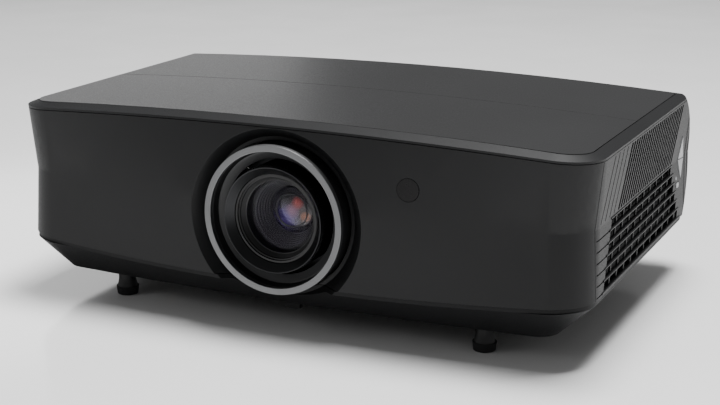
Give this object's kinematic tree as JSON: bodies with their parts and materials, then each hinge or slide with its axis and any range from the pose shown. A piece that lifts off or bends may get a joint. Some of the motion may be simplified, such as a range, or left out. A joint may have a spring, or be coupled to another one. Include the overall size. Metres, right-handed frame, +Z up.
{
  "type": "home projector",
  "caption": "Compact home cinema projector with a ringed lens, slatted side grilles, a lift-up lens hatch, side keys and screw feet.",
  "frame": {"origin": "middle of the body's footprint, on the surface that it stands on", "axes": "+X to the right of the front face, +Y from the lens to the back, +Z up"},
  "size_m": [0.498, 0.331, 0.1691],
  "materials": {
    "shell": "satin, fine spark-eroded texture",
    "pan": "fine matt texture",
    "rim": "satin",
    "top": "satin, fine texture",
    "silver": "satin spun face",
    "steel": "zinc plated",
    "plated_steel": "nickel plated",
    "alloy": "milled",
    "cast_alloy": "die cast",
    "black_metal": "black anodised",
    "black_plastic": "fine matt",
    "grey_plastic": "satin",
    "lens_glass": "coated, violet and amber sheen",
    "mirror_glass": "dichroic coated",
    "dark_window": "polished, dark red-black",
    "light_guide": "clear frosted",
    "key_silver": "silver painted",
    "board": "solder resist",
    "brass": "turned",
    "rubber": "matt"
  },
  "bodies": {
    "chassis": {"base_pan": "pan", "front_panel": "shell", "right_grille": "shell", "left_grille": "shell", "rear_panel": "shell", "rim_frame": "rim", "rear_top_cover": "top", "hinge_bracket": "steel", "lens_trim_ring": "silver", "lens_shroud": "black_plastic", "mask_ring": "grey_plastic", "shift_frame": "alloy", "shift_gearbox": "black_plastic", "light_engine": "cast_alloy", "imager_board": "board", "imager_heat_sink": "alloy", "laser_module": "cast_alloy", "laser_heat_sink": "alloy", "wheel_housing": "cast_alloy", "main_board": "board", "power_board": "board", "speakers": "black_plastic", "keypad_board": "board", "status_light": "light_guide", "receiver_window": "dark_window", "port_bay": "black_plastic", "video_sockets": "plated_steel", "network_socket": "plated_steel", "audio_jacks": "black_plastic", "power_inlet": "black_plastic", "inlet_pins": "plated_steel", "brass_inserts": "brass", "case_screws": "plated_steel", "fan_frames": "black_plastic"},
    "hatch": {"hatch": "top"},
    "lens": {"lens_tube": "black_metal", "lens_carriage": "alloy", "rear_glass": "lens_glass"},
    "focus_ring": {"focus_ring": "black_metal"},
    "front_cell": {"front_cell": "black_plastic", "front_glass": "lens_glass"},
    "zoom_ring": {"zoom_ring": "black_plastic"},
    "zoom_cell": {"zoom_cell": "black_plastic", "zoom_glass": "lens_glass"},
    "shift_dial": {"shift_dial": "grey_plastic"},
    "upper_key": {"upper_key": "key_silver"},
    "lower_key": {"lower_key": "key_silver"},
    "power_button": {"power_button": "key_silver"},
    "phosphor_wheel": {"phosphor_wheel": "alloy"},
    "colour_wheel": {"colour_wheel": "mirror_glass"},
    "front_fan": {"front_fan_rotor": "black_plastic"},
    "rear_fan": {"rear_fan_rotor": "black_plastic"},
    "front_left_foot": {"front_left_foot_stem": "black_plastic", "front_left_foot_pad": "rubber"},
    "front_right_foot": {"front_right_foot_stem": "black_plastic", "front_right_foot_pad": "rubber"},
    "rear_left_foot": {"rear_left_foot_stem": "black_plastic", "rear_left_foot_pad": "rubber"},
    "rear_right_foot": {"rear_right_foot_stem": "black_plastic", "rear_right_foot_pad": "rubber"}
  },
  "joints": [
    {"name": "hatch_hinge", "type": "hinge", "parent": "chassis", "child": "hatch", "pos_m": [0, -0.0157, 0.16587], "axis": [-1, 0, 0], "range_deg": [0, 70]},
    {"name": "lens_shift", "type": "slide", "parent": "chassis", "child": "lens", "axis": [0, 0, 1], "range_m": [-0.0015, 0.0015]},
    {"name": "shift_dial_turn", "type": "hinge", "parent": "chassis", "child": "shift_dial", "pos_m": [0.084, -0.104, 0.1431], "axis": [0, 0, 1], "range_deg": [-90, 90]},
    {"name": "focus_turn", "type": "hinge", "parent": "lens", "child": "focus_ring", "pos_m": [0, -0.1655, 0.0926], "axis": [0, -1, 0], "range_deg": [-45, 45]},
    {"name": "focus_slide", "type": "slide", "parent": "lens", "child": "front_cell", "axis": [0, 1, 0], "range_m": [-0.0008, 0.0008]},
    {"name": "zoom_turn", "type": "hinge", "parent": "lens", "child": "zoom_ring", "pos_m": [0, -0.111, 0.0926], "axis": [0, -1, 0], "range_deg": [-25, 25]},
    {"name": "zoom_slide", "type": "slide", "parent": "lens", "child": "zoom_cell", "axis": [0, 1, 0], "range_m": [-0.004, 0.004]},
    {"name": "upper_key_press", "type": "slide", "parent": "chassis", "child": "upper_key", "axis": [-1, 0, 0], "range_m": [0, 0.0009], "stiffness_N_per_m": 1200, "springref_m": -0.0008},
    {"name": "lower_key_press", "type": "slide", "parent": "chassis", "child": "lower_key", "axis": [-1, 0, 0], "range_m": [0, 0.0009], "stiffness_N_per_m": 1200, "springref_m": -0.0008},
    {"name": "power_press", "type": "slide", "parent": "chassis", "child": "power_button", "axis": [-1, 0, 0], "range_m": [0, 0.0009], "stiffness_N_per_m": 1000, "springref_m": -0.0008},
    {"name": "phosphor_spin", "type": "hinge", "parent": "chassis", "child": "phosphor_wheel", "pos_m": [-0.026, 0.1046, 0.0813], "axis": [0, 1, 0], "continuous": true},
    {"name": "colour_spin", "type": "hinge", "parent": "chassis", "child": "colour_wheel", "pos_m": [0.026, 0.1046, 0.0813], "axis": [0, 1, 0], "continuous": true},
    {"name": "front_fan_spin", "type": "hinge", "parent": "chassis", "child": "front_fan", "pos_m": [-0.217, -0.016, 0.0863], "axis": [1, 0, 0], "continuous": true},
    {"name": "rear_fan_spin", "type": "hinge", "parent": "chassis", "child": "rear_fan", "pos_m": [-0.217, 0.07, 0.0863], "axis": [1, 0, 0], "continuous": true},
    {"name": "front_left_foot_screw", "type": "slide", "parent": "chassis", "child": "front_left_foot", "axis": [0, 0, 1], "range_m": [0, 0.012]},
    {"name": "front_right_foot_screw", "type": "slide", "parent": "chassis", "child": "front_right_foot", "axis": [0, 0, 1], "range_m": [0, 0.012]},
    {"name": "rear_left_foot_screw", "type": "slide", "parent": "chassis", "child": "rear_left_foot", "axis": [0, 0, 1], "range_m": [0, 0.012]},
    {"name": "rear_right_foot_screw", "type": "slide", "parent": "chassis", "child": "rear_right_foot", "axis": [0, 0, 1], "range_m": [0, 0.012]}
  ],
  "couplings": [
    {"joint": "shift_dial_turn", "follows": "lens_shift", "rad_per_m": 1047.2},
    {"joint": "focus_slide", "follows": "focus_turn", "m_per_rad": -0.001},
    {"joint": "zoom_slide", "follows": "zoom_turn", "m_per_rad": 0.009}
  ]
}
